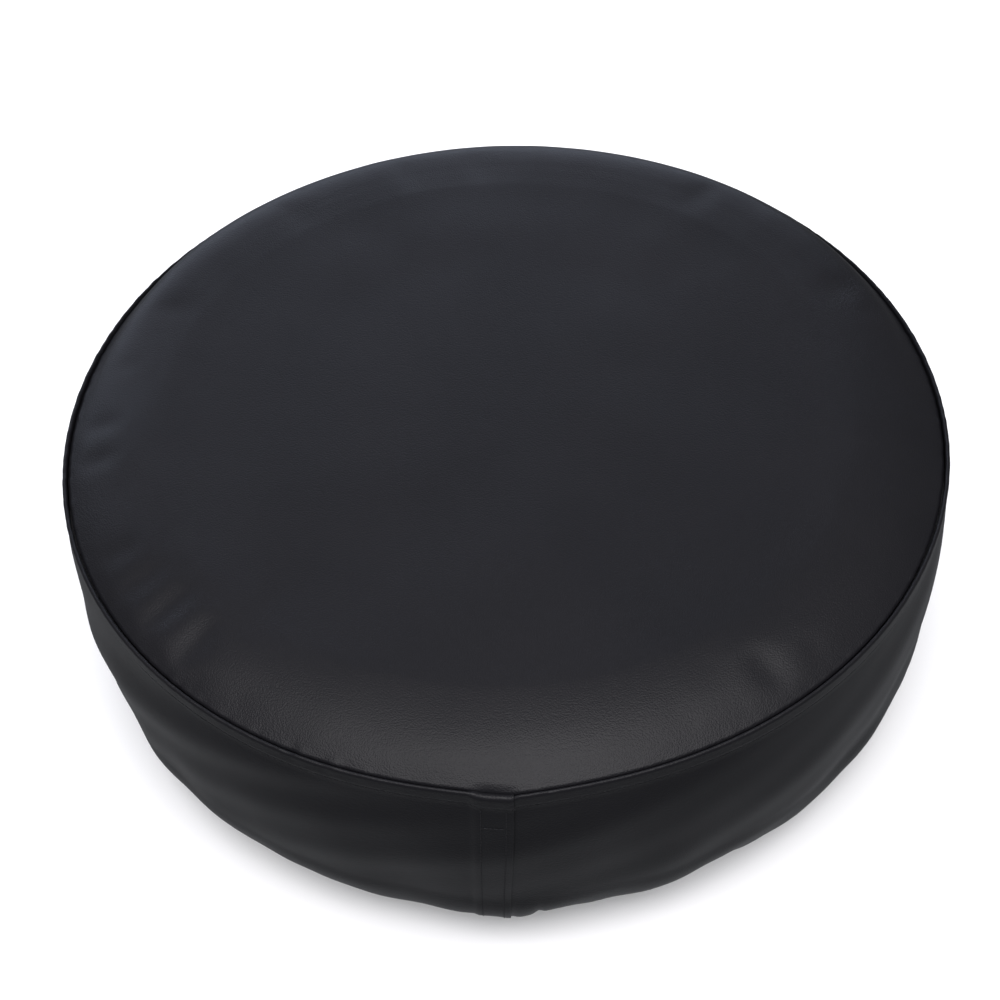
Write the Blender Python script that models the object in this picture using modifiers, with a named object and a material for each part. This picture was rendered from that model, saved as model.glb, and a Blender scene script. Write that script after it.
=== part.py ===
"""Spare tire cover: a soft cover sewn from leatherette, in the full shape that it has on a tire.

Metres, +Z up. The origin is the centre of the flat ring behind the tire that the cover rests on.
+Z is the tire's axle line, out through the face, and the front seam of the side band faces -Y.
"""

from math import cos, pi, radians, sin, tau

import bmesh
import bpy
from mathutils import Matrix, Vector

# Outer shape, as radius and height.
FACE_Z = 0.241
FACE_FLAT_R = 0.318
FACE_EDGE_R = 0.363
SEAM_Z = 0.2195
BAND_TOP_R = 0.369
STITCH_GROOVE = 0.0009
GROOVE_REACH = 0.003
TOPSTITCH_Z = 0.2085
BAND_LOW_R = 0.3665
BAND_BULGE = 0.005
REAR_CORNER = 0.073
REST_RING = 0.004
HEM_STITCH_R = 0.286
HEM_STITCH_Z = 0.0015
HEM_R = 0.2625
HEM_FOLD = 0.0035
HEM_FOLD_Z = 0.006

# Sheets, thread, folds and clearances.
VINYL = 0.0011
FELT = 0.001
TAPE = 0.0008
TAPE_WIDTH = 0.019
TAPE_DROP = 0.002
GAP = 0.0004
THREAD_R = 0.0004
FACE_THREAD_R = 0.0007
FACE_THREAD_Z = 0.2155
SEAM_ALLOWANCE = 0.009
ROLL_WIDTH = 0.0036

# The side band's two halves, and the seams that join them.
FACETS = 48
FACET = tau / FACETS
FRONT = -pi / 2
SEAM_SLIT = 0.0006 / BAND_TOP_R
LINING_SLIT = 0.006 / BAND_TOP_R
LAP_WIDTH = 0.027
LAP_TOP_Z = 0.2
LAP_LOW_Z = 0.07
ROW_NEAR = 0.006
ROW_FAR = 0.0245
ROW_CLEARANCE = 0.0015
CROSS_ROW_Z = 0.1845

# Hem elastic.
ELASTIC_WIDTH = 0.014
ELASTIC_THICK = 0.0012
ELASTIC_R = 0.2735
ELASTIC_Z = 0.0057
ELASTIC_LAP = 0.03

COLOURS = {
    "vinyl": ((0.022, 0.022, 0.026, 1), 0.45),
    "felt": ((0.16, 0.16, 0.165, 1), 0.95),
    "tape": ((0.03, 0.03, 0.032, 1), 0.85),
    "elastic": ((0.55, 0.55, 0.53, 1), 0.8),
    "thread": ((0.018, 0.018, 0.02, 1), 0.6),
}


def clear_scene():
    for obj in list(bpy.data.objects):
        bpy.data.objects.remove(obj, do_unlink=True)


def make_material(name):
    colour, roughness = COLOURS[name]
    material = bpy.data.materials.new(name)
    material.use_nodes = True
    shader = material.node_tree.nodes["Principled BSDF"]
    shader.inputs["Base Color"].default_value = colour
    shader.inputs["Roughness"].default_value = roughness
    shader.inputs["Metallic"].default_value = 0.0
    return material


def arc(centre_r, centre_z, radius_r, radius_z, start, end, steps):
    """Points of an elliptical arc in the profile plane, both ends included."""
    angles = [start + (end - start) * i / steps for i in range(steps + 1)]
    return [(centre_r + radius_r * cos(a), centre_z + radius_z * sin(a)) for a in angles]


def face_profile(inset):
    """From the centre of the face out over its shoulder to the seam, moved inwards by inset."""
    flat = [(0, FACE_Z - inset), (FACE_FLAT_R / 2, FACE_Z - inset)]
    half_width = FACE_EDGE_R - FACE_FLAT_R - inset
    half_height = FACE_Z - SEAM_Z - inset
    return flat + arc(FACE_FLAT_R, SEAM_Z, half_width, half_height, pi / 2, 0, 6)


def band_radius(z):
    """Radius of the barrel-shaped band between its topstitching and the rear corner."""
    share = (z - REAR_CORNER) / (TOPSTITCH_Z - REAR_CORNER)
    straight = BAND_LOW_R + (BAND_TOP_R - STITCH_GROOVE - BAND_LOW_R) * share
    return straight + BAND_BULGE * sin(pi * share)


def barrel(top, steps, inset):
    """The upright part of the band, from height top down to the rear corner."""
    heights = [top + (REAR_CORNER - top) * i / steps for i in range(steps)]
    return [(band_radius(z) - inset, z) for z in heights]


def rear_corner(inset, end, steps):
    centre_r = BAND_LOW_R - REAR_CORNER
    radius = REAR_CORNER - inset
    return arc(centre_r, REAR_CORNER, radius, radius, 0, end, steps)


def band_profile():
    """From the seam allowance up over the rolled top edge, down the band and round the hem tunnel."""
    half_roll = ROLL_WIDTH / 2
    allowance = [(BAND_TOP_R - ROLL_WIDTH, SEAM_Z - SEAM_ALLOWANCE)]
    roll = arc(BAND_TOP_R - half_roll, SEAM_Z, half_roll, half_roll, pi, 0, 4)
    above_groove = [(BAND_TOP_R, TOPSTITCH_Z + GROOVE_REACH)]
    skirt = barrel(TOPSTITCH_Z, 6, 0) + rear_corner(0, -pi / 2, 6)
    rest_ring = [(BAND_LOW_R - REAR_CORNER - REST_RING, 0)]
    stitched_edge = [(HEM_STITCH_R, HEM_STITCH_Z)]
    fold = arc(HEM_R + HEM_FOLD, HEM_FOLD_Z, HEM_FOLD, HEM_FOLD, -pi / 2, -3 * pi / 2, 4)
    inner_layer = [
        (HEM_STITCH_R - GROOVE_REACH, HEM_FOLD_Z + HEM_FOLD),
        (HEM_STITCH_R, HEM_STITCH_Z + 2 * VINYL + 3 * GAP),
    ]
    return allowance + roll + above_groove + skirt + rest_ring + stitched_edge + fold + inner_layer


def edge_chain(bm, points):
    verts = [bm.verts.new(point) for point in points]
    edges = [bm.edges.new(pair) for pair in zip(verts, verts[1:])]
    return verts, edges


def object_from(bm, name, material, collection):
    mesh = bpy.data.meshes.new(name)
    bm.to_mesh(mesh)
    bm.free()
    obj = bpy.data.objects.new(name, mesh)
    obj.data.materials.append(material)
    collection.objects.link(obj)
    return obj


def smooth(mesh):
    mesh.shade_smooth()
    mesh.set_sharp_from_angle(angle=radians(35))


def add_wall(obj, thickness):
    """Gives an open sheet its thickness, on the side away from its normals."""
    wall = obj.modifiers.new("wall", "SOLIDIFY")
    wall.thickness = thickness
    wall.offset = -1
    wall.use_even_offset = True


def add_turn(obj):
    turn = obj.modifiers.new("turn", "SCREW")
    turn.steps = FACETS
    turn.render_steps = FACETS
    turn.use_merge_vertices = True
    turn.merge_threshold = 0.00001
    turn.use_smooth_shade = True


def turned_sheet(name, profile, thickness, material, collection):
    """An open profile turned once round the axis."""
    bm = bmesh.new()
    edge_chain(bm, [(r, 0, z) for r, z in profile])
    obj = object_from(bm, name, material, collection)
    add_turn(obj)
    add_wall(obj, thickness)
    return obj


def turned_ring(name, outline, material, collection):
    """A closed outline turned once round the axis."""
    bm = bmesh.new()
    verts, _ = edge_chain(bm, [(r, 0, z) for r, z in outline])
    bm.edges.new((verts[-1], verts[0]))
    obj = object_from(bm, name, material, collection)
    add_turn(obj)
    return obj


def thread_ring(name, centre_r, centre_z, radius, material, collection):
    outline = arc(centre_r, centre_z, radius, radius, 0, -tau, 6)[:-1]
    return turned_ring(name, outline, material, collection)


def half_sheet(profile, facets, slit):
    """An open profile turned through a half round, from the front seam towards +X."""
    bm = bmesh.new()
    verts, edges = edge_chain(bm, [(r, 0, z) for r, z in profile])
    turn = Matrix.Rotation(FRONT + slit / 2, 4, "Z")
    bmesh.ops.transform(bm, matrix=turn, verts=verts)
    sweep = facets * (pi - slit) / (FACETS / 2)
    bmesh.ops.spin(
        bm, geom=verts + edges, cent=(0, 0, 0), axis=(0, 0, 1), angle=sweep, steps=facets
    )
    return bm, edges


def moved_verts(extruded):
    return [item for item in extruded["geom"] if isinstance(item, bmesh.types.BMVert)]


def add_lap(bm, end_edges):
    """The end of a band half that runs on under the other half: a step inwards, then the lap."""
    upright = [e for e in end_edges if all(LAP_LOW_Z < v.co.z < LAP_TOP_Z for v in e.verts)]
    step = bmesh.ops.extrude_edge_only(bm, edges=upright)
    for vert in moved_verts(step):
        radial = Vector((vert.co.x, vert.co.y, 0)).normalized()
        vert.co -= radial * (VINYL + GAP)
    ends = [item for item in step["geom"] if isinstance(item, bmesh.types.BMEdge)]
    lap = bmesh.ops.extrude_edge_only(bm, edges=[e for e in ends if len(e.link_faces) == 1])
    facet_width = BAND_LOW_R * FACET
    next_facet = Matrix.Rotation(-FACET, 3, "Z")
    for vert in moved_verts(lap):
        vert.co = vert.co.lerp(next_facet @ vert.co, LAP_WIDTH / facet_width)


def band_half(side, half_turn, material, collection):
    bm, end_edges = half_sheet(band_profile(), FACETS // 2, SEAM_SLIT)
    add_lap(bm, end_edges)
    bmesh.ops.transform(bm, matrix=half_turn, verts=bm.verts)
    obj = object_from(bm, "band_panel_" + side, material, collection)
    smooth(obj.data)
    add_wall(obj, VINYL)
    return obj


def band_lining(side, half_turn, material, collection):
    """The backing of a band half. It stops a facet short of the seam that the other half laps into."""
    inset = VINYL + 2 * GAP
    upright = barrel(TOPSTITCH_Z, 6, inset)
    top_r = (upright[0][0] + upright[1][0]) / 2
    top_z = (upright[0][1] + upright[1][1]) / 2
    profile = [(top_r, top_z)] + upright[1:] + rear_corner(inset, -5 * pi / 12, 5)
    bm, _ = half_sheet(profile, FACETS // 2 - 1, LINING_SLIT)
    bmesh.ops.transform(bm, matrix=half_turn, verts=bm.verts)
    obj = object_from(bm, "band_lining_" + side, material, collection)
    smooth(obj.data)
    add_wall(obj, FELT)
    return obj


def hem_elastic(material, collection):
    """A flat elastic that climbs by its own thickness in one turn, so that its ends lie lapped."""
    bm = bmesh.new()
    made = bmesh.ops.create_grid(bm, x_segments=1, y_segments=1, size=0.5)
    bmesh.ops.scale(bm, vec=(ELASTIC_WIDTH, ELASTIC_THICK, 1), verts=made["verts"])
    bmesh.ops.rotate(bm, matrix=Matrix.Rotation(pi / 2, 3, "X"), verts=made["verts"])
    bmesh.ops.translate(bm, vec=(ELASTIC_R, 0, ELASTIC_Z), verts=made["verts"])
    steps = FACETS + 1
    sweep = tau + ELASTIC_LAP / ELASTIC_R
    climb = (ELASTIC_THICK + GAP) / tau * sweep / steps
    bmesh.ops.spin(
        bm,
        geom=bm.faces[:] + bm.edges[:] + bm.verts[:],
        cent=(0, 0, 0),
        axis=(0, 0, 1),
        dvec=(0, 0, climb),
        angle=sweep,
        steps=steps,
    )
    bmesh.ops.recalc_face_normals(bm, faces=bm.faces)
    return object_from(bm, "hem_elastic", material, collection)


def thread_curve(name, points, material, collection):
    curve = bpy.data.curves.new(name, "CURVE")
    curve.dimensions = "3D"
    curve.bevel_depth = THREAD_R
    curve.bevel_resolution = 1
    curve.use_fill_caps = True
    spline = curve.splines.new("POLY")
    spline.points.add(len(points) - 1)
    for target, point in zip(spline.points, points):
        target.co = (*point, 1)
    curve.materials.append(material)
    obj = bpy.data.objects.new(name, curve)
    collection.objects.link(obj)
    return obj


def beside_seam(half_turn, distance, r, z):
    """A point just outside the band, a distance to the lapped side of a seam."""
    angle = FRONT - distance / r
    lifted = r + GAP + THREAD_R
    return half_turn @ Vector((lifted * cos(angle), lifted * sin(angle), z))


def seam_threads(end, half_turn, material, collection):
    """Two upright rows of stitching beside a band seam, and the short cross row between them."""
    corner = rear_corner(0, -pi / 3, 4)
    upright = barrel(TOPSTITCH_Z - GROOVE_REACH, 6, 0) + corner
    for row, distance in (("near", ROW_NEAR), ("far", ROW_FAR)):
        points = [beside_seam(half_turn, distance, r, z) for r, z in upright]
        thread_curve(f"{end}_seam_thread_{row}", points, material, collection)
    first = ROW_NEAR + ROW_CLEARANCE
    last = ROW_FAR - ROW_CLEARANCE
    stops = [first + (last - first) * i / 3 for i in range(4)]
    points = [beside_seam(half_turn, stop, band_radius(CROSS_ROW_Z), CROSS_ROW_Z) for stop in stops]
    thread_curve(f"{end}_seam_cross_thread", points, material, collection)


def seam_tape(material, collection):
    outer = FACE_EDGE_R - VINYL - GAP
    high = SEAM_Z - TAPE_DROP
    low = high - TAPE_WIDTH
    outline = [(outer, high), (outer, low), (outer - TAPE, low), (outer - TAPE, high)]
    return turned_ring("seam_tape", outline, material, collection)


def build():
    clear_scene()
    collection = bpy.data.collections.new("spare_tire_cover")
    bpy.context.scene.collection.children.link(collection)
    vinyl, felt, tape, elastic, thread = (make_material(name) for name in COLOURS)

    skirt = [(FACE_EDGE_R, SEAM_Z - SEAM_ALLOWANCE)]
    turned_sheet("face_panel", face_profile(0) + skirt, VINYL, vinyl, collection)
    turned_sheet("face_lining", face_profile(VINYL + GAP)[:-1], FELT, felt, collection)

    halves = {"right": Matrix.Identity(4), "left": Matrix.Rotation(pi, 4, "Z")}
    for side, half_turn in halves.items():
        band_half(side, half_turn, vinyl, collection)
        band_lining(side, half_turn, felt, collection)
    seam_threads("front", halves["right"], thread, collection)
    seam_threads("rear", halves["left"], thread, collection)

    seam_tape(tape, collection)
    hem_elastic(elastic, collection)

    crevice_r = (FACE_EDGE_R + BAND_TOP_R - ROLL_WIDTH) / 2
    thread_ring("face_seam_thread", crevice_r, FACE_THREAD_Z, FACE_THREAD_R, thread, collection)
    topstitch_r = BAND_TOP_R - STITCH_GROOVE + GAP + THREAD_R
    thread_ring("topstitch_thread", topstitch_r, TOPSTITCH_Z, THREAD_R, thread, collection)
    hem_thread_z = HEM_STITCH_Z - GAP - THREAD_R
    thread_ring("hem_stitch_thread", HEM_STITCH_R, hem_thread_z, THREAD_R, thread, collection)


build()
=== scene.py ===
"""Spare tire cover: a round leatherette cover, face up, in the full shape that it has on a tire."""

from math import cos, pi, radians, sin, sqrt, tau

import bmesh
import bpy
import numpy as np
from mathutils import Matrix, Vector
from mathutils.kdtree import KDTree


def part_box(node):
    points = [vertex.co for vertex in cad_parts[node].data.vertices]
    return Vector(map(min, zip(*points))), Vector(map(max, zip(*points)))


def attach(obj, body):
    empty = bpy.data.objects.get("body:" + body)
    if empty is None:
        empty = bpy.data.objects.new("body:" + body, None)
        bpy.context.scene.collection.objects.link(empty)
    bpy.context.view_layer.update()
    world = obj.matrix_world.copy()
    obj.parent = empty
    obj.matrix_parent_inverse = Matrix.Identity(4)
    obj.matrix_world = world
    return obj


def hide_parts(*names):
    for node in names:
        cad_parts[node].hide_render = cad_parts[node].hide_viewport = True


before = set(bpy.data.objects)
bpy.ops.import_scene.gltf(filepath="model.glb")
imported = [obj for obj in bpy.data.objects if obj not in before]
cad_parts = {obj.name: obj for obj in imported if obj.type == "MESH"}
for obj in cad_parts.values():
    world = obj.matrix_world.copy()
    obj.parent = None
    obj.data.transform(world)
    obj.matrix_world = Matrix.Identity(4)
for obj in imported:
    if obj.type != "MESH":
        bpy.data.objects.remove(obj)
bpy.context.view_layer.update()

# ---------------------------------------------------------------------------------------------
# Camera. It stands in front of the cover, about as high as it is far, and looks down at the
# face, so that the front seam of the side band comes almost in the middle.
# ---------------------------------------------------------------------------------------------
CAMERA_LENS = 72
CAMERA_DISTANCE = 1.6815
CAMERA_HEIGHT_ANGLE = radians(45.54)
CAMERA_SIDE_ANGLE = radians(0.62)
CAMERA_LOOK_DOWN = radians(47.70)
CAMERA_LOOK_LEFT = radians(0.30)
CAMERA_ROLL = radians(-2.68)
SEAM_CENTRE_Z = 0.22

camera_data = bpy.data.cameras.new("camera")
camera_data.lens = CAMERA_LENS
camera_data.sensor_width = 36
camera = bpy.data.objects.new("camera", camera_data)
bpy.context.scene.collection.objects.link(camera)
camera_stand = Vector((0, -cos(CAMERA_HEIGHT_ANGLE), sin(CAMERA_HEIGHT_ANGLE))) * CAMERA_DISTANCE
camera.matrix_world = (
    Matrix.Translation((0, 0, SEAM_CENTRE_Z))
    @ Matrix.Rotation(CAMERA_SIDE_ANGLE, 4, "Z")
    @ Matrix.Translation(camera_stand)
    @ Matrix.Rotation(CAMERA_LOOK_LEFT, 4, "Z")
    @ Matrix.Rotation(pi / 2 - CAMERA_LOOK_DOWN, 4, "X")
    @ Matrix.Rotation(CAMERA_ROLL, 4, "Z")
)
bpy.context.scene.camera = camera

# ---------------------------------------------------------------------------------------------
# Floor and light. A plain white studio floor, one big soft light over the front of the cover,
# and a cooler one low down behind it.
# ---------------------------------------------------------------------------------------------
FLOOR_HALF_SIDE = 60
FLOOR_DROP = 0.0008
FLOOR_COLOUR = (0.86, 0.86, 0.87, 1)
ROOM_COLOUR = (0.93, 0.95, 1, 1)
ROOM_STRENGTH = 0.175
ROOM_LOW_STRENGTH = 0.48
ROOM_DIM_TILT = 0.4
ROOM_PALE_TILT = 1.1
FLOOR_LIGHT = 3.1
FLOOR_LIGHT_SPREAD = radians(120)


def plain_material(name, colour, roughness):
    material = bpy.data.materials.new(name)
    material.use_nodes = True
    shader = material.node_tree.nodes["Principled BSDF"]
    shader.inputs["Base Color"].default_value = colour
    shader.inputs["Roughness"].default_value = roughness
    return material


def new_piece(bm, name, material):
    """The bmesh as a finished piece of the scene, at the origin."""
    mesh = bpy.data.meshes.new(name)
    bm.to_mesh(mesh)
    bm.free()
    mesh.shade_smooth()
    mesh.materials.append(material)
    piece = bpy.data.objects.new(name, mesh)
    bpy.context.scene.collection.objects.link(piece)
    return piece


def soft_light(name, place, target, width, depth, watts, colour):
    light = bpy.data.lights.new(name, "AREA")
    light.shape = "RECTANGLE"
    light.size = width
    light.size_y = depth
    light.energy = watts
    light.color = colour
    lamp = bpy.data.objects.new(name, light)
    lamp.location = place
    lamp.rotation_euler = (Vector(target) - Vector(place)).to_track_quat("-Z", "Y").to_euler()
    bpy.context.scene.collection.objects.link(lamp)


floor_bm = bmesh.new()
bmesh.ops.create_grid(floor_bm, x_segments=1, y_segments=1, size=FLOOR_HALF_SIDE)
bmesh.ops.translate(floor_bm, vec=(0, 0, -FLOOR_DROP), verts=floor_bm.verts)
floor = new_piece(floor_bm, "floor", plain_material("floor_white", FLOOR_COLOUR, 0.9))
floor.visible_glossy = False
floor.visible_diffuse = False

# The room round the cover: dim above, paler low down, as over a pale floor. The floor itself is
# left out of the reflections, because so large a white sheet would wash out the black leather.
room = bpy.data.worlds.new("room")
room.use_nodes = True
room_nodes = room.node_tree.nodes
room_links = room.node_tree.links
direction = room_nodes.new("ShaderNodeTexCoord").outputs["Generated"]
lowness = room_nodes.new("ShaderNodeVectorMath")
lowness.operation = "DOT_PRODUCT"
lowness.inputs[1].default_value = (0, 0.25, -1)
room_links.new(direction, lowness.inputs[0])
paleness = room_nodes.new("ShaderNodeMapRange")
paleness.interpolation_type = "SMOOTHSTEP"
paleness.inputs["From Min"].default_value = ROOM_DIM_TILT
paleness.inputs["From Max"].default_value = ROOM_PALE_TILT
paleness.inputs["To Min"].default_value = ROOM_STRENGTH
paleness.inputs["To Max"].default_value = ROOM_LOW_STRENGTH
room_links.new(lowness.outputs["Value"], paleness.inputs["Value"])
background = room_nodes["Background"]
background.inputs["Color"].default_value = ROOM_COLOUR
room_links.new(paleness.outputs["Result"], background.inputs["Strength"])
bpy.context.scene.world = room

# A light that falls on the floor alone keeps it evenly white.
floor_sun = bpy.data.lights.new("floor_light", "SUN")
floor_sun.energy = FLOOR_LIGHT
floor_sun.angle = FLOOR_LIGHT_SPREAD
floor_sun.use_shadow = False
floor_lamp = bpy.data.objects.new("floor_light", floor_sun)
bpy.context.scene.collection.objects.link(floor_lamp)
floor_only = bpy.data.collections.new("floor_only")
floor_only.objects.link(floor)
floor_lamp.light_linking.receiver_collection = floor_only
bpy.context.scene.view_settings.view_transform = "Standard"

soft_light(
    "front_softbox", place=(0, -0.75, 2.1), target=(0, -0.1, 0),
    width=2.4, depth=1.4, watts=42, colour=(1, 0.98, 1),
)
soft_light(
    "back_softbox", place=(-0.7, 2.9, 1), target=(0, 0, 0.15),
    width=4, depth=1.1, watts=33, colour=(0.72, 0.8, 1),
)

# ---------------------------------------------------------------------------------------------
# The skin. Once it is sewn, the real cover is one skin: the face eased into the seam, the band
# round the tire, the hem drawn in by its elastic. It is worked out here as one coarse cloth,
# and "settle" then moves every piece as that cloth moves.
# ---------------------------------------------------------------------------------------------
face_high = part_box("face_panel")[1]
band_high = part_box("band_panel_right")[1]
topstitch_low, topstitch_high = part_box("topstitch_thread")

# The profile, from the centre of the face to the hem, as radius and height.
FACE_Z = face_high.z
FACE_EDGE_R = face_high.x
FACE_FLAT_R = 0.288
FACE_EASE = 0.8
SHOULDER_POWER = 1.35
ROLL_WIDTH = 0.0036
SEAM_Z = band_high.z - ROLL_WIDTH / 2
BAND_TOP_R = 0.369
TOPSTITCH_Z = (topstitch_low.z + topstitch_high.z) / 2
STITCH_GROOVE = 0.0009
GROOVE_REACH = 0.003
BAND_LOW_R = 0.3665
BAND_BULGE = 0.005
REAR_CORNER = 0.073
REAR_CORNER_R = BAND_LOW_R - REAR_CORNER
REST_RING = 0.004
HEM_STITCH_R = 0.286
HEM_STITCH_Z = 0.0015
HEM_R = 0.2625
HEM_FOLD = 0.0035
HEM_FOLD_Z = 0.006
FRONT = -pi / 2

# The coarse cloth, in rows down the profile and columns round the cover.
FLAT_ROWS = 14
SHOULDER_ROWS = 10
BARREL_ROWS = 17
CORNER_ROWS = 16
HEM_ROWS = 4
SKIN_COLUMNS = 432
SKIN_FRAMES = 20
FOLD_SOFTENING = 2


def spaced(first, last, steps):
    return [first + (last - first) * i / steps for i in range(steps + 1)]


def arc(centre_r, centre_z, radius_r, radius_z, start, end, steps):
    """Points of an elliptical arc in the profile plane, both ends included."""
    return [
        (centre_r + radius_r * cos(a), centre_z + radius_z * sin(a))
        for a in spaced(start, end, steps)
    ]


def face_line(inset, flat_steps, shoulder_steps):
    """From the centre of the face out over its shoulder to the seam."""
    flat = [(r, FACE_Z - inset) for r in spaced(0, FACE_FLAT_R, flat_steps)[:-1]]
    wide = FACE_EDGE_R - FACE_FLAT_R - inset
    drop = FACE_Z - SEAM_Z - inset
    rounded = np.array(arc(FACE_FLAT_R, SEAM_Z, wide, drop, pi / 2, 0, shoulder_steps))
    share = np.array(spaced(0, 1, shoulder_steps))
    sloped = np.stack(
        [FACE_FLAT_R + wide * share, FACE_Z - inset - drop * share**SHOULDER_POWER], axis=1
    )
    shoulder = rounded * (1 - FACE_EASE) + sloped * FACE_EASE
    return flat + [tuple(point) for point in shoulder]


def eased(share):
    """0 to 1, starting and ending softly."""
    share = np.clip(share, 0, 1)
    return share * share * (3 - 2 * share)


def band_radius(z):
    """Radius of the barrel-shaped band, from its top edge down to the rear corner."""
    if z > TOPSTITCH_Z:
        return BAND_TOP_R - STITCH_GROOVE * (1 - eased((z - TOPSTITCH_Z) / GROOVE_REACH))
    share = (z - REAR_CORNER) / (TOPSTITCH_Z - REAR_CORNER)
    straight = BAND_LOW_R + (BAND_TOP_R - STITCH_GROOVE - BAND_LOW_R) * share
    return straight + BAND_BULGE * sin(pi * share)


def barrel_line(top, steps, inset):
    return [(band_radius(z) - inset, z) for z in spaced(top, REAR_CORNER, steps)[:-1]]


def corner_line(inset, end, steps):
    radius = REAR_CORNER - inset
    return arc(REAR_CORNER_R, REAR_CORNER, radius, radius, 0, end, steps)


def spun(line, start, sweep, steps, merge):
    """An open profile swept round the axis, with its normals outwards."""
    bm = bmesh.new()
    verts = [bm.verts.new((r, 0, z)) for r, z in line]
    edges = [bm.edges.new(pair) for pair in zip(verts, verts[1:])]
    bmesh.ops.rotate(bm, matrix=Matrix.Rotation(start, 3, "Z"), verts=verts)
    turned = bmesh.ops.spin(
        bm, geom=verts + edges, cent=(0, 0, 0), axis=(0, 0, 1),
        angle=sweep, steps=steps, use_merge=merge,
    )
    if merge:
        bmesh.ops.remove_doubles(bm, verts=bm.verts, dist=0.00001)
    return bm, turned["geom_last"]


skin_line = np.array(
    face_line(0, FLAT_ROWS, SHOULDER_ROWS)
    + [(BAND_TOP_R, SEAM_Z - 0.002)]
    + barrel_line(TOPSTITCH_Z, BARREL_ROWS, 0)
    + corner_line(0, -pi / 2, CORNER_ROWS)
    + [(REAR_CORNER_R - REST_RING, 0), (HEM_STITCH_R, HEM_STITCH_Z)]
    + [(0.276, 0.002), (0.269, 0.0023), (HEM_R, HEM_FOLD_Z)]
)
skin_steps = np.hypot(*np.diff(skin_line, axis=0).T)
skin_along = np.concatenate([[0], np.cumsum(skin_steps)])
seam_row = FLAT_ROWS + SHOULDER_ROWS
corner_row = seam_row + BARREL_ROWS + 2
hem_row = len(skin_line) - HEM_ROWS
SEAM_ALONG = skin_along[seam_row]
CORNER_ALONG = skin_along[corner_row]
HEM_ALONG = skin_along[hem_row]
skin_inward = np.gradient(skin_line, skin_along, axis=0)[:, ::-1] * (1, -1)
skin_inward /= np.hypot(*skin_inward.T)[:, None]
chance = np.random.default_rng(11)


def waves(angle, fewest, most, count):
    """Irregular waves round the cover, between the fewest and the most of them in one turn."""
    total = np.zeros_like(angle)
    for _ in range(count):
        total += np.cos(chance.integers(fewest, most + 1) * angle + chance.uniform(0, tau))
    return total / sqrt(count)


def hump(distance, width):
    """1 at no distance, falling softly to nothing past the width."""
    return np.exp(-((distance / width) ** 2))


def near_angle(angle, middle, width):
    """1 at an angle of the cover, in degrees, and less away from it, with a width in radians."""
    return hump((angle - radians(middle) + pi) % tau - pi, width)


def seam_distance(angle):
    """Distance along the band from the nearer of its two seams, plus on the side that laps over."""
    turn = (FRONT - angle) % pi
    return BAND_TOP_R * np.where(turn > pi / 2, turn - pi, turn)


# Where the face has spare width, eased into the seam in puckers: a little all round, and more at
# three places, given as share, angle in degrees and width in radians.
SPARE_ALL_ROUND = 0.01
SPARE_WAVES = 0.05
PUCKERED = ((0.32, 219, 0.30), (0.12, 184, 0.12), (0.13, 309, 0.14))
angles = np.arange(SKIN_COLUMNS) * tau / SKIN_COLUMNS
spare_width = SPARE_ALL_ROUND + SPARE_WAVES * waves(angles, 7, 23, 5)
for share, middle, width in PUCKERED:
    spare_width += share * near_angle(angles, middle, width)
spare_width = np.clip(spare_width, 0, 1)

# The shape that the cloth starts from. First, the gathers of the hem, which grow towards it.
GATHERS = 58
GATHER_DEPTH = 0.0095
GATHER_START = CORNER_ALONG + 0.01
angle, along = np.meshgrid(angles, skin_along)
below_seam = along - SEAM_ALONG
hem_share = eased((along - GATHER_START) / (HEM_ALONG - GATHER_START))
phase = GATHERS * angle + 1.5 * np.cos(3 * angle + 1) + 1.3 * np.cos(7 * angle + 2)
phase += 0.8 * np.cos(13 * angle) + 3 * np.cos(2 * angle) * (1 - hem_share)
fold = (0.5 + 0.5 * np.cos(phase)) ** 1.2
inward = GATHER_DEPTH * hem_share**1.6 * fold * (1 + 0.25 * waves(angle, 5, 19, 3))

# The band is a little slack low down, with long soft folds that lean.
LOW_SLACK = 0.0012
BAND_FOLDS = 0.0009
FOLD_LEAN = 9
slack_share = eased((below_seam - 0.05) / 0.1) * (1 - hem_share)
inward += LOW_SLACK * slack_share * (1 + waves(angle, 9, 31, 6))
fold_share = eased(below_seam / 0.04) * (1 - hem_share)
inward += BAND_FOLDS * fold_share * waves(angle + FOLD_LEAN * below_seam, 6, 14, 5)

# The face is not quite flat, and ripples beside its seam.
FACE_WAVES = 0.0006
RIM_RIPPLES = 0.0005
face_share = eased((along - 0.03) / 0.15) * eased(-below_seam / 0.06)
inward += FACE_WAVES * face_share * waves(angle + 4 * along, 2, 6, 4)
rim_share = hump(below_seam + 0.03, 0.024) * (0.15 + spare_width)
inward += RIM_RIPPLES * rim_share * waves(angle, 19, 58, 9)

# At the back the shoulder is fuller, and the seam sits lower.
BACK_FULLNESS = 0.0135
FULLEST = 0.019
BACK_SEAM_DROP = 0.003
at_back = eased(np.sin(angle) / 0.7)
inward -= BACK_FULLNESS * at_back * hump(
    below_seam + FULLEST, np.where(below_seam < -FULLEST, 0.042, FULLEST)
)
skin_shift = np.stack(
    [inward * skin_inward[:, 0:1], 0 * inward, inward * skin_inward[:, 1:2]], axis=-1
)
skin_shift[..., 2] -= BACK_SEAM_DROP * at_back * hump(below_seam - 0.003, 0.009)

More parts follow.
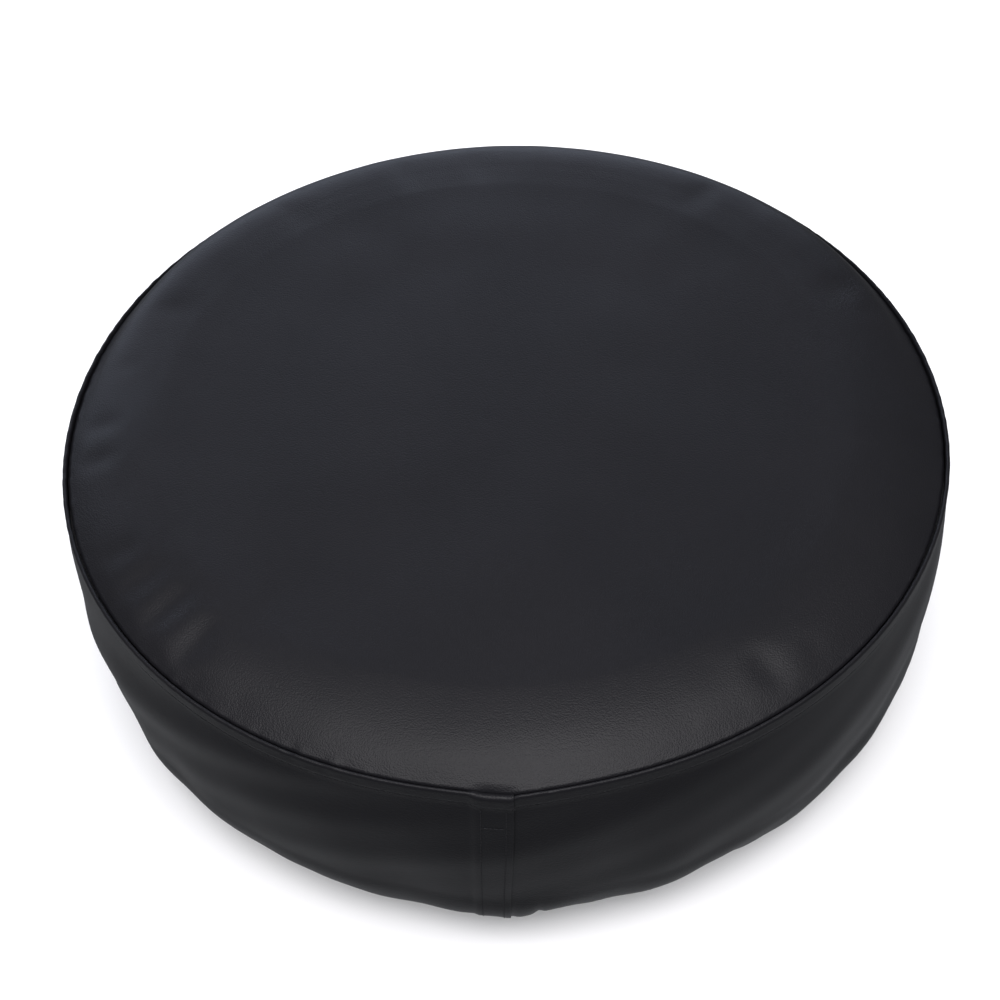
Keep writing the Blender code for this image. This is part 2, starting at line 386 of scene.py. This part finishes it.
# The thick seams of the band push the skin outwards and draw it down, most at the front. The
# front seam leans to its left lower down.
PUSH_OUT = 0.0042
DRAW_DOWN = 0.003
LEAN = 0.007
PULL_REACH = 0.045
PULL_BLUNT = 0.006
PULL_ON_FACE = 0.07
REAR_SHARE = 0.25
pull = np.exp(-(np.sqrt(seam_distance(angle) ** 2 + PULL_BLUNT**2) - PULL_BLUNT) / PULL_REACH)
pull *= np.where(np.sin(angle) < 0, 1, REAR_SHARE)
pull *= 1 - eased((along - CORNER_ALONG - 0.05) / 0.05)
on_face = eased((below_seam + PULL_ON_FACE) / PULL_ON_FACE)
down = np.where(below_seam < 0, on_face, 1 - 0.5 * eased(below_seam / 0.12))
out = np.where(below_seam < 0, on_face, 1)
near_front = np.abs((angle - FRONT + pi) % tau - pi) < 0.5
skin_shift[..., 0] += PUSH_OUT * pull * out
skin_shift[..., 2] -= DRAW_DOWN * pull * down
skin_shift[..., 1] -= LEAN * pull * eased(below_seam / 0.2) * near_front

HELD_FACE_R = 0.2
PUCKER_MIDDLE = 0.027
PUCKER_REACH = 0.028
FURTHEST = 0.005


def cloth_shift(start):
    """Runs the skin as cloth from its start shape. Returns how far each point ends from the line."""
    bm, _ = spun(skin_line, 0, tau, SKIN_COLUMNS, True)
    mesh = bpy.data.meshes.new("skin")
    bm.to_mesh(mesh)
    bm.free()
    count = len(mesh.vertices)
    place = np.empty(count * 3)
    mesh.vertices.foreach_get("co", place)
    place = place.reshape(-1, 3)
    radius = np.hypot(place[:, 0], place[:, 1])
    apart = np.abs(radius[:, None] - skin_line[:, 0]) + np.abs(place[:, 2:3] - skin_line[:, 1])
    row = apart.argmin(axis=1)
    column = np.rint(np.arctan2(place[:, 1], place[:, 0]) / tau * SKIN_COLUMNS).astype(int) % SKIN_COLUMNS
    facing = column * tau / SKIN_COLUMNS
    outward = np.stack([np.cos(facing), np.sin(facing), 0 * facing], axis=1)
    sideways = np.stack([-np.sin(facing), np.cos(facing), 0 * facing], axis=1)
    moved = start[row, column]
    begin = place + outward * moved[:, 0:1] + sideways * moved[:, 1:2]
    begin[:, 2] += moved[:, 2]
    mesh.vertices.foreach_set("co", begin.ravel())
    skin = bpy.data.objects.new("skin", mesh)
    bpy.context.scene.collection.objects.link(skin)
    held = skin.vertex_groups.new(name="held")
    taut = skin.vertex_groups.new(name="taut")
    hold = np.where(skin_line[:, 0] < HELD_FACE_R, 1.0, 0.0)
    hold[seam_row] = 1
    hold[hem_row:] = 1
    near_seam = hump(skin_along - SEAM_ALONG + PUCKER_MIDDLE, PUCKER_REACH)
    for index in range(count):
        held.add([index], hold[row[index]], "REPLACE")
        taut.add([index], 1 - near_seam[row[index]] * spare_width[column[index]], "REPLACE")
    cloth = skin.modifiers.new("cloth", "CLOTH")
    settings = cloth.settings
    settings.quality = 4
    settings.mass = 0.05
    settings.tension_stiffness = 80
    settings.compression_stiffness = 80
    settings.shear_stiffness = 8
    settings.bending_stiffness = 3
    settings.vertex_group_mass = "held"
    settings.vertex_group_shrink = "taut"
    settings.shrink_min = -0.036
    settings.shrink_max = 0
    settings.use_pressure = True
    settings.uniform_pressure_force = 0.06
    settings.effector_weights.gravity = 0
    cloth.collision_settings.use_collision = False
    for number in range(1, SKIN_FRAMES + 1):
        bpy.context.scene.frame_set(number)
    worn = skin.evaluated_get(bpy.context.evaluated_depsgraph_get()).to_mesh()
    end = np.empty(count * 3)
    worn.vertices.foreach_get("co", end)
    change = end.reshape(-1, 3) - begin
    size = np.linalg.norm(change, axis=1, keepdims=True)
    change *= np.minimum(1, FURTHEST / np.maximum(size, 1e-9))
    bpy.data.objects.remove(skin)
    bpy.context.scene.frame_set(1)
    folds = np.zeros_like(start)
    folds[row, column] = np.stack(
        [(change * outward).sum(axis=1), (change * sideways).sum(axis=1), change[:, 2]], axis=1
    )
    for _ in range(FOLD_SOFTENING):
        folds = (np.roll(folds, 1, axis=1) + 2 * folds + np.roll(folds, -1, axis=1)) / 4
    result = start + folds
    result[0] = result[0].mean(axis=0)
    return result


skin_shift = cloth_shift(skin_shift)

MAP_POINTS = 1600
map_along = np.linspace(0, skin_along[-1], MAP_POINTS)
map_r = np.interp(map_along, skin_along, skin_line[:, 0])
map_z = np.interp(map_along, skin_along, skin_line[:, 1])
skin_map = KDTree(MAP_POINTS)
for index in range(MAP_POINTS):
    skin_map.insert((map_r[index], map_z[index], 0), index)
skin_map.balance()


def spline_weights(t):
    """The share of each of four neighbouring points in a smooth curve between the middle two."""
    return (
        (1 - t) ** 3 / 6,
        (3 * t**3 - 6 * t**2 + 4) / 6,
        (-3 * t**3 + 3 * t**2 + 3 * t + 1) / 6,
        t**3 / 6,
    )


# Details too narrow for the cloth. First the tuck low on the right of the front seam: outward
# height, distance past the seam, width, distance below the barrel and length of each fold.
FRONT_TUCK = (
    (0.0029, 0.0070, 0.0110, 0.055, 0.028),
    (-0.0022, 0.0205, 0.0030, 0.040, 0.020),
    (-0.0050, 0.0235, 0.0050, 0.062, 0.012),
    (-0.0058, 0.0380, 0.0150, 0.062, 0.024),
    (-0.0009, 0.0012, 0.0030, 0.020, 0.040),
)

# The rolled edge dips over the lap of each seam, and is a little wavy, most at the front left.
SEAM_DIP = 0.0028
DIP_BELOW = 0.022
DIP_ABOVE = 0.002
RIDGE_WAVES = 0.0005
RIDGE_REACH = 0.005
RIDGE_OUT_SHARE = 0.6
ridge_angles = np.linspace(-pi, pi, 4096)
ridge_wave = RIDGE_WAVES * waves(ridge_angles, 70, 190, 7)
ridge_wave *= 0.45 + 0.9 * hump(ridge_angles - radians(-122), 0.22)
row_numbers = np.arange(len(skin_along))


def settle(bm):
    """Moves a piece, made in its turned shape, as the skin of the cover moves there."""
    place = np.array([vert.co[:] for vert in bm.verts])
    radius = np.hypot(place[:, 0], place[:, 1])
    facing = np.arctan2(place[:, 1], place[:, 0])
    nearest = [skin_map.find((r, z, 0))[1] for r, z in zip(radius, place[:, 2])]
    far = map_along[nearest]
    row = np.interp(far, skin_along, row_numbers)
    column = facing / tau * SKIN_COLUMNS
    row_whole = np.minimum(row.astype(int), len(skin_along) - 2)
    column_whole = np.floor(column).astype(int)
    shift = np.zeros_like(place)
    row_parts = spline_weights(row - row_whole)
    column_parts = spline_weights(column - column_whole)
    for i in range(4):
        rows = np.clip(row_whole + i - 1, 0, len(skin_along) - 1)
        for j in range(4):
            columns = (column_whole + j - 1) % SKIN_COLUMNS
            shift += (row_parts[i] * column_parts[j])[:, None] * skin_shift[rows, columns]
    outward = np.stack([np.cos(facing), np.sin(facing), 0 * facing], axis=1)
    sideways = np.stack([-np.sin(facing), np.cos(facing), 0 * facing], axis=1)
    place += outward * shift[:, 0:1] + sideways * shift[:, 1:2]
    place[:, 2] = np.maximum(place[:, 2] + shift[:, 2], 0)
    past = (facing - FRONT) * BAND_TOP_R
    tuck = sum(
        height * hump(past - across, wide) * hump(far - CORNER_ALONG - down, tall)
        for height, across, wide, down, tall in FRONT_TUCK
    )
    ridge = np.interp(facing, ridge_angles, ridge_wave) * hump(far - SEAM_ALONG - 0.002, RIDGE_REACH)
    inward_r = np.interp(row, row_numbers, skin_inward[:, 0])
    inward_z = np.interp(row, row_numbers, skin_inward[:, 1])
    beside = seam_distance(facing)
    dip = SEAM_DIP * eased((beside + 0.005) / 0.009) * (1 - eased((beside - 0.022) / 0.014))
    dip *= hump(far - SEAM_ALONG, np.where(far < SEAM_ALONG, DIP_ABOVE, DIP_BELOW))
    place += outward * (ridge * RIDGE_OUT_SHARE - tuck * inward_r)[:, None]
    place[:, 2] += ridge - dip - tuck * inward_z
    place[:, 2] = np.maximum(place[:, 2], 0)
    for vert, where in zip(bm.verts, place):
        vert.co = where


# ---------------------------------------------------------------------------------------------
# Face panel. A disc of black leatherette, PVC on a knitted back, 1.1 mm thick. Its edge is
# eased round the shoulder and turned down into the seam.
# ---------------------------------------------------------------------------------------------
VINYL = 0.0011
GAP = 0.0004
SEAM_ALLOWANCE = 0.009
FACE_PUFF = 0.0011
PEBBLES = 780
CREASES = 420
PATCHES = 7


def leather_material():
    """Fine pebbles with faint creases between them, and a gloss and tone that vary in wide patches."""
    material = plain_material("black_leatherette", (0.0125, 0.0125, 0.015, 1), 0.45)
    nodes = material.node_tree.nodes
    links = material.node_tree.links
    shader = nodes["Principled BSDF"]
    where = nodes.new("ShaderNodeTexCoord").outputs["Object"]

    def texture(kind, scale, **values):
        node = nodes.new(kind)
        node.inputs["Scale"].default_value = scale
        for name, value in values.items():
            node.inputs[name].default_value = value
        links.new(where, node.inputs["Vector"])
        return node

    pebbles = texture("ShaderNodeTexVoronoi", PEBBLES, Randomness=0.9)
    creases = texture("ShaderNodeTexNoise", CREASES, Detail=3, Roughness=0.6)
    patches = texture("ShaderNodeTexNoise", PATCHES, Detail=4, Roughness=0.55)
    height = nodes.new("ShaderNodeMath")
    height.operation = "MULTIPLY_ADD"
    links.new(creases.outputs["Fac"], height.inputs[0])
    height.inputs[1].default_value = 0.18
    links.new(pebbles.outputs["Distance"], height.inputs[2])
    bump = nodes.new("ShaderNodeBump")
    bump.invert = True
    bump.inputs["Strength"].default_value = 0.55
    bump.inputs["Distance"].default_value = 0.00035
    links.new(height.outputs["Value"], bump.inputs["Height"])
    links.new(bump.outputs["Normal"], shader.inputs["Normal"])
    tone = nodes.new("ShaderNodeValToRGB")
    tone.color_ramp.elements[0].position = 0.3
    tone.color_ramp.elements[0].color = (0.0105, 0.0105, 0.013, 1)
    tone.color_ramp.elements[1].position = 0.7
    tone.color_ramp.elements[1].color = (0.0145, 0.0142, 0.017, 1)
    links.new(patches.outputs["Fac"], tone.inputs["Fac"])
    links.new(tone.outputs["Color"], shader.inputs["Base Color"])
    gloss = nodes.new("ShaderNodeMapRange")
    gloss.inputs["To Min"].default_value = 0.48
    gloss.inputs["To Max"].default_value = 0.38
    links.new(patches.outputs["Fac"], gloss.inputs["Value"])
    links.new(gloss.outputs["Result"], shader.inputs["Roughness"])
    shader.inputs["Specular IOR Level"].default_value = 0.25
    return material


def give_wall(piece, thickness):
    """Gives a sheet its thickness, on the side away from its normals."""
    wall = piece.modifiers.new("wall", "SOLIDIFY")
    wall.thickness = thickness
    wall.offset = -1
    wall.use_even_offset = True


leather = leather_material()
turned_down = [(FACE_EDGE_R + FACE_PUFF / 2, SEAM_Z - 0.0015)]
turned_down += [(FACE_EDGE_R, z) for z in spaced(SEAM_Z - 0.003, SEAM_Z - SEAM_ALLOWANCE, 4)]
face_bm, _ = spun(face_line(0, 30, 26) + turned_down, 0, tau, 576, True)
for vert in face_bm.verts:
    if vert.co.z > SEAM_Z - 0.0001:
        share = (vert.co.xy.length - FACE_FLAT_R) / (FACE_EDGE_R - FACE_FLAT_R)
        vert.co.xy *= 1 + FACE_PUFF * float(eased(share)) / FACE_EDGE_R
settle(face_bm)
face = new_piece(face_bm, "face_panel_leather", leather)
give_wall(face, VINYL)
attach(face, "root")
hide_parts("face_panel")

# ---------------------------------------------------------------------------------------------
# Side band. Two equal halves of the same leatherette. Each has its top edge rolled over and
# topstitched, runs under the other half at one end, and is stitched over it at the other.
# ---------------------------------------------------------------------------------------------
LAP_WIDTH = 0.027
LAP_STEPS = 9
NEAR_SEAM = 0.05
NEAR_SEAM_STEPS = 25
OVER_WIDTH = 0.04
OVER_STEPS = 32
MIDDLE_STEPS = 270
OVER_LIFT = 0.0015
LIFT_RAMP = 0.007
LIFT_LOW_Z = 0.002
LIFT_RISE = 0.02
ROLL_SHAPE = 1.45
SEAM_SLIT = 0.0006
TUNNEL_TOP_Z = 0.012


def band_line():
    """From the seam allowance over the rolled edge, down the band and round the hem's tunnel."""
    half_roll = ROLL_WIDTH / 2
    inner_r = BAND_TOP_R - ROLL_WIDTH
    allowance = [(inner_r, z) for z in spaced(SEAM_Z - SEAM_ALLOWANCE, SEAM_Z, 4)[:-1]]
    roll = arc(BAND_TOP_R - half_roll, SEAM_Z, half_roll, ROLL_SHAPE * half_roll, pi, 0, 12)
    strip = [(band_radius(z), z) for z in spaced(SEAM_Z, TOPSTITCH_Z, 10)[1:-1]]
    skirt = barrel_line(TOPSTITCH_Z, 26, 0) + corner_line(0, -pi / 2, 20)
    under = [(REAR_CORNER_R - REST_RING, 0), (HEM_STITCH_R, HEM_STITCH_Z)]
    under += [(0.281, 0.0016), (0.276, 0.0018), (0.271, 0.0021)]
    fold = arc(HEM_R + HEM_FOLD, HEM_FOLD_Z, HEM_FOLD, HEM_FOLD, -pi / 2, -3 * pi / 2, 8)
    inner = [(r, HEM_FOLD_Z + HEM_FOLD) for r in spaced(0.270, HEM_STITCH_R - 0.004, 3)]
    edge = [(HEM_STITCH_R - 0.001, 0.0068), (HEM_STITCH_R, HEM_STITCH_Z + 2 * VINYL + 3 * GAP)]
    return allowance + roll + strip + skirt + under + fold + inner + edge


def over_lift(distance, z):
    """How far the overlapping end stands out, by its distance from the seam's edge and its height."""
    across = 1 - eased((distance - LAP_WIDTH) / LIFT_RAMP)
    return OVER_LIFT * across * (distance > -0.001) * eased((z - LIFT_LOW_Z) / LIFT_RISE)


def band_half():
    """Half the band, from the end that runs under at one seam to the end that laps over at the other."""
    turn = 1 / BAND_TOP_R
    spins = [
        (LAP_WIDTH * turn, LAP_STEPS),
        (NEAR_SEAM * turn, NEAR_SEAM_STEPS),
        (pi - (NEAR_SEAM + OVER_WIDTH + SEAM_SLIT) * turn, MIDDLE_STEPS),
        (OVER_WIDTH * turn, OVER_STEPS),
    ]
    start = FRONT - (LAP_WIDTH - SEAM_SLIT / 2) * turn
    bm, last = spun(band_line(), start, *spins[0], False)
    for sweep, steps in spins[1:]:
        geom = [g for g in last if not isinstance(g, bmesh.types.BMFace)]
        last = bmesh.ops.spin(
            bm, geom=geom, cent=(0, 0, 0), axis=(0, 0, 1), angle=sweep, steps=steps
        )["geom_last"]
    in_hem = []
    for strip in bm.faces:
        middle = strip.calc_center_median()
        past = (FRONT - np.arctan2(middle.y, middle.x)) * BAND_TOP_R
        if 0 < past < LAP_WIDTH and middle.z < TUNNEL_TOP_Z:
            in_hem.append(strip)
    bmesh.ops.delete(bm, geom=in_hem, context="FACES")
    bm.normal_update()
    place = np.array([vert.co[:] for vert in bm.verts])
    normal = np.array([vert.normal[:] for vert in bm.verts])
    from_end = (FRONT + pi - np.arctan2(place[:, 1], place[:, 0])) * BAND_TOP_R
    lift = over_lift(from_end, place[:, 2])
    for vert, n, up in zip(bm.verts, normal, lift):
        vert.co += Vector(n) * up
    return bm


for side, half_turn in (("right", 0), ("left", pi)):
    half_bm = band_half()
    bmesh.ops.rotate(half_bm, matrix=Matrix.Rotation(half_turn, 3, "Z"), verts=half_bm.verts)
    settle(half_bm)
    half = new_piece(half_bm, f"band_{side}_leather", leather)
    give_wall(half, VINYL)
    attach(half, "root")
    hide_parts(f"band_panel_{side}")

# ---------------------------------------------------------------------------------------------
# Backing. A thin fleece of matted grey fibre, laid under the face and under both halves of the
# band, and held by the seams round its edges.
# ---------------------------------------------------------------------------------------------
FELT = 0.001


def fibre_material(name, dark, pale, roughness, scale, sheen=0.2):
    """Matted or woven fibres, in a dark and a pale tone, with coarser tufts among them."""
    material = plain_material(name, dark, roughness)
    nodes = material.node_tree.nodes
    links = material.node_tree.links
    shader = nodes["Principled BSDF"]
    where = nodes.new("ShaderNodeTexCoord").outputs["Object"]
    fibres = nodes.new("ShaderNodeTexNoise")
    fibres.inputs["Scale"].default_value = scale
    fibres.inputs["Detail"].default_value = 5
    fibres.inputs["Roughness"].default_value = 0.7
    fibres.inputs["Distortion"].default_value = 1.5
    links.new(where, fibres.inputs["Vector"])
    tufts = nodes.new("ShaderNodeTexNoise")
    tufts.inputs["Scale"].default_value = scale / 18
    tufts.inputs["Detail"].default_value = 3
    links.new(where, tufts.inputs["Vector"])
    both = nodes.new("ShaderNodeMath")
    both.operation = "MULTIPLY_ADD"
    links.new(tufts.outputs["Fac"], both.inputs[0])
    both.inputs[1].default_value = 0.6
    links.new(fibres.outputs["Fac"], both.inputs[2])
    tone = nodes.new("ShaderNodeValToRGB")
    tone.color_ramp.elements[0].position = 0.55
    tone.color_ramp.elements[0].color = dark
    tone.color_ramp.elements[1].position = 1
    tone.color_ramp.elements[1].color = pale
    links.new(both.outputs["Value"], tone.inputs["Fac"])
    links.new(tone.outputs["Color"], shader.inputs["Base Color"])
    bump = nodes.new("ShaderNodeBump")
    bump.inputs["Strength"].default_value = 0.7
    bump.inputs["Distance"].default_value = 0.0004
    links.new(both.outputs["Value"], bump.inputs["Height"])
    links.new(bump.outputs["Normal"], shader.inputs["Normal"])
    shader.inputs["Sheen Weight"].default_value = sheen
    shader.inputs["Specular IOR Level"].default_value = 0.2
    return material


fleece = fibre_material("grey_fleece", (0.11, 0.11, 0.115, 1), (0.21, 0.21, 0.215, 1), 0.95, 520)
face_lining_bm, _ = spun(face_line(VINYL + GAP, 24, 18)[:-1], 0, tau, 432, True)
settle(face_lining_bm)
face_lining = new_piece(face_lining_bm, "face_fleece", fleece)
give_wall(face_lining, FELT)
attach(face_lining, "root")
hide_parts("face_lining")

LINING_INSET = VINYL + 2 * GAP
LINING_SLIT = 0.006
LINING_TOP_Z = 0.197
LINING_LOW_ANGLE = -5 * pi / 12
LINING_SHARE = 23 / 24
for side, half_turn in (("right", 0), ("left", pi)):
    lining_line = barrel_line(LINING_TOP_Z, 20, LINING_INSET)
    lining_line += corner_line(LINING_INSET, LINING_LOW_ANGLE, 16)
    start = FRONT + LINING_SLIT / 2 / BAND_TOP_R
    sweep = (pi - LINING_SLIT / BAND_TOP_R) * LINING_SHARE
    lining_bm, _ = spun(lining_line, start + half_turn, sweep, 240, False)
    settle(lining_bm)
    lining = new_piece(lining_bm, f"band_{side}_fleece", fleece)
    give_wall(lining, FELT)
    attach(lining, "root")
    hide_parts(f"band_lining_{side}")

# ---------------------------------------------------------------------------------------------
# Seam tape. A black woven tape, 19 mm wide, sewn inside over the raw edges of the face seam.
# ---------------------------------------------------------------------------------------------
tape_low, tape_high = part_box("seam_tape")
TAPE = 0.0008
tape_bm, _ = spun([(tape_high.x, z) for z in spaced(tape_high.z, tape_low.z, 6)], 0, tau, 432, True)
settle(tape_bm)
tape = new_piece(
    tape_bm, "seam_tape_woven",
    fibre_material("black_tape", (0.016, 0.016, 0.017, 1), (0.04, 0.04, 0.042, 1), 0.85, 900),
)
give_wall(tape, TAPE)
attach(tape, "root")
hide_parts("seam_tape")

# ---------------------------------------------------------------------------------------------
# Hem elastic. A flat braided elastic, white, run through the hem's tunnel with its two ends
# lapped and sewn together.
# ---------------------------------------------------------------------------------------------
ELASTIC_WIDTH = 0.014
ELASTIC_THICK = 0.0012
ELASTIC_R = 0.2735
ELASTIC_Z = 0.0057
ELASTIC_LAP = 0.03
ELASTIC_STEPS = 460
elastic_bm = bmesh.new()
strip = bmesh.ops.create_grid(elastic_bm, x_segments=6, y_segments=1, size=0.5)
bmesh.ops.scale(elastic_bm, vec=(ELASTIC_WIDTH, ELASTIC_THICK, 1), verts=strip["verts"])
bmesh.ops.rotate(elastic_bm, matrix=Matrix.Rotation(pi / 2, 3, "X"), verts=strip["verts"])
bmesh.ops.translate(elastic_bm, vec=(ELASTIC_R, 0, ELASTIC_Z), verts=strip["verts"])
elastic_sweep = tau + ELASTIC_LAP / ELASTIC_R
bmesh.ops.spin(
    elastic_bm, geom=elastic_bm.faces[:] + elastic_bm.edges[:] + elastic_bm.verts[:],
    cent=(0, 0, 0), axis=(0, 0, 1), angle=elastic_sweep, steps=ELASTIC_STEPS,
    dvec=(0, 0, (ELASTIC_THICK + GAP) / tau * elastic_sweep / ELASTIC_STEPS),
)
bmesh.ops.recalc_face_normals(elastic_bm, faces=elastic_bm.faces)
settle(elastic_bm)
elastic = new_piece(
    elastic_bm, "hem_elastic_braid",
    fibre_material("white_elastic", (0.42, 0.42, 0.40, 1), (0.62, 0.62, 0.60, 1), 0.8, 700),
)
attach(elastic, "root")
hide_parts("hem_elastic")

# ---------------------------------------------------------------------------------------------
# Stitching. Black polyester thread, lockstitched 4 mm a stitch: a ring in the face seam, the
# topstitched ring below the rolled edge, the hem's ring, and three rows at each band seam.
# ---------------------------------------------------------------------------------------------
STITCH_PITCH = 0.004
STITCH_LENGTH = 0.0035
THREAD_R = 0.0004
ROW_NEAR = 0.006
ROW_FAR = 0.0245
ROW_CLEARANCE = 0.0015
CROSS_ROW_Z = 0.1845
FACE_THREAD_Z = 0.2155

thread = fibre_material("black_thread", (0.018, 0.018, 0.021, 1), (0.045, 0.045, 0.05, 1), 0.5, 2400, 0)


def add_stitch(bm, place, along, outward):
    """One stitch, thickest in its middle and tapering to its two ends."""
    along = along.normalized()
    across = outward.cross(along).normalized()
    turn = Matrix((across, along.cross(across), along)).transposed().to_4x4()
    size = Matrix.Diagonal((THREAD_R * 1.15, THREAD_R, STITCH_LENGTH / 2, 1))
    bmesh.ops.create_uvsphere(
        bm, u_segments=6, v_segments=5, radius=1, matrix=Matrix.Translation(place) @ turn @ size
    )


def finish_stitches(bm, name, node):
    settle(bm)
    piece = new_piece(bm, name, thread)
    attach(piece, "root")
    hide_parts(node)


def stitch_ring(name, node, r, z, lifted):
    """A ring of stitches round the cover, lifted over the laps of the band where it crosses them."""
    count = round(tau * r / STITCH_PITCH)
    bm = bmesh.new()
    add_stitch(bm, Vector((0, -r, z)), Vector((1, 0, 0)), Vector((0, -1, 0)))
    bmesh.ops.spin(
        bm, geom=bm.faces[:] + bm.edges[:] + bm.verts[:], cent=(0, 0, 0), axis=(0, 0, 1),
        angle=tau * (count - 1) / count, steps=count - 1, use_duplicate=True,
    )
    if lifted:
        for vert in bm.verts:
            facing = np.arctan2(vert.co.y, vert.co.x)
            lift = over_lift(seam_distance(facing), z)
            vert.co += Vector((cos(facing), sin(facing), 0)) * lift
    finish_stitches(bm, name, node)


def seam_rows(end, half_turn):
    """The two upright rows at a seam of the band, and the short cross row between them."""
    upright = np.array(barrel_line(TOPSTITCH_Z - GROOVE_REACH, 40, 0) + corner_line(0, -pi / 3, 20))
    run = np.concatenate([[0], np.cumsum(np.hypot(*np.diff(upright, axis=0).T))])
    slope = np.gradient(upright, run, axis=0)
    turn = Matrix.Rotation(half_turn, 3, "Z")

    def on_band(distance, r, z, slope_r, slope_z):
        angle = FRONT - distance / BAND_TOP_R
        outward = Vector((cos(angle), sin(angle), 0))
        along = outward * slope_r + Vector((0, 0, slope_z))
        normal = -outward * slope_z + Vector((0, 0, slope_r))
        raised = float(over_lift(distance, z)) + THREAD_R / 3
        place = outward * r + Vector((0, 0, z)) + normal * raised
        return turn @ place, turn @ along, turn @ normal

    for row, distance in (("near", ROW_NEAR), ("far", ROW_FAR)):
        bm = bmesh.new()
        for far in np.arange(STITCH_PITCH / 2, run[-1] - STITCH_PITCH / 2, STITCH_PITCH):
            at = [float(np.interp(far, run, values)) for values in (*upright.T, *slope.T)]
            add_stitch(bm, *on_band(distance, *at))
        finish_stitches(bm, f"{end}_seam_stitches_{row}", f"{end}_seam_thread_{row}")
    bm = bmesh.new()
    margin = ROW_CLEARANCE + STITCH_PITCH / 2
    for stop in spaced(ROW_NEAR + margin, ROW_FAR - margin, 3):
        place, along, normal = on_band(stop, band_radius(CROSS_ROW_Z), CROSS_ROW_Z, 0, -1)
        add_stitch(bm, place, along.cross(normal), normal)
    finish_stitches(bm, f"{end}_seam_stitches_cross", f"{end}_seam_cross_thread")


crevice_r = (FACE_EDGE_R + BAND_TOP_R - ROLL_WIDTH) / 2
groove_r = BAND_TOP_R - STITCH_GROOVE + THREAD_R / 3
stitch_ring("face_seam_stitches", "face_seam_thread", crevice_r, FACE_THREAD_Z, False)
stitch_ring("top_stitches", "topstitch_thread", groove_r, TOPSTITCH_Z, True)
stitch_ring("hem_stitches", "hem_stitch_thread", HEM_STITCH_R, HEM_STITCH_Z - THREAD_R / 3, False)
seam_rows("front", 0)
seam_rows("rear", pi)
